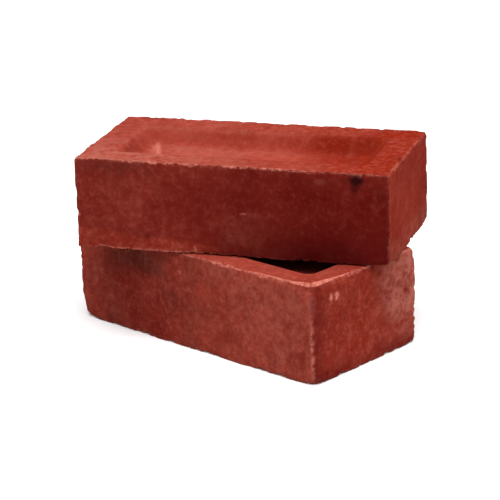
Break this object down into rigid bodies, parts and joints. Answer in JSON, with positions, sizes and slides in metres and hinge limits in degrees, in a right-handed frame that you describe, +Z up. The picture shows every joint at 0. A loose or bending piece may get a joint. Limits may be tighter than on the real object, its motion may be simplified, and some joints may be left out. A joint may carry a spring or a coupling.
{
  "type": "stacked clay bricks",
  "caption": "Red pressed clay building brick with a frog in its top, resting turned across another like it.",
  "frame": {"origin": "centre of the lower brick's bed face, the face that the object rests on", "axes": "+X along the lower brick's length, +Y across its width, +Z up through both bricks"},
  "size_m": [0.2362, 0.1818, 0.1295],
  "materials": {
    "lower_clay": "matte fired clay, sandy, brownish red",
    "upper_clay": "matte fired clay, sandy, deep red"
  },
  "bodies": {
    "lower": {"lower_brick": "lower_clay"},
    "upper": {"upper_brick": "upper_clay"}
  },
  "joints": [
    {"name": "upper_brick_lift", "type": "slide", "parent": "lower", "child": "upper", "axis": [0, 0, 1], "range_m": [0, 0.1]}
  ]
}
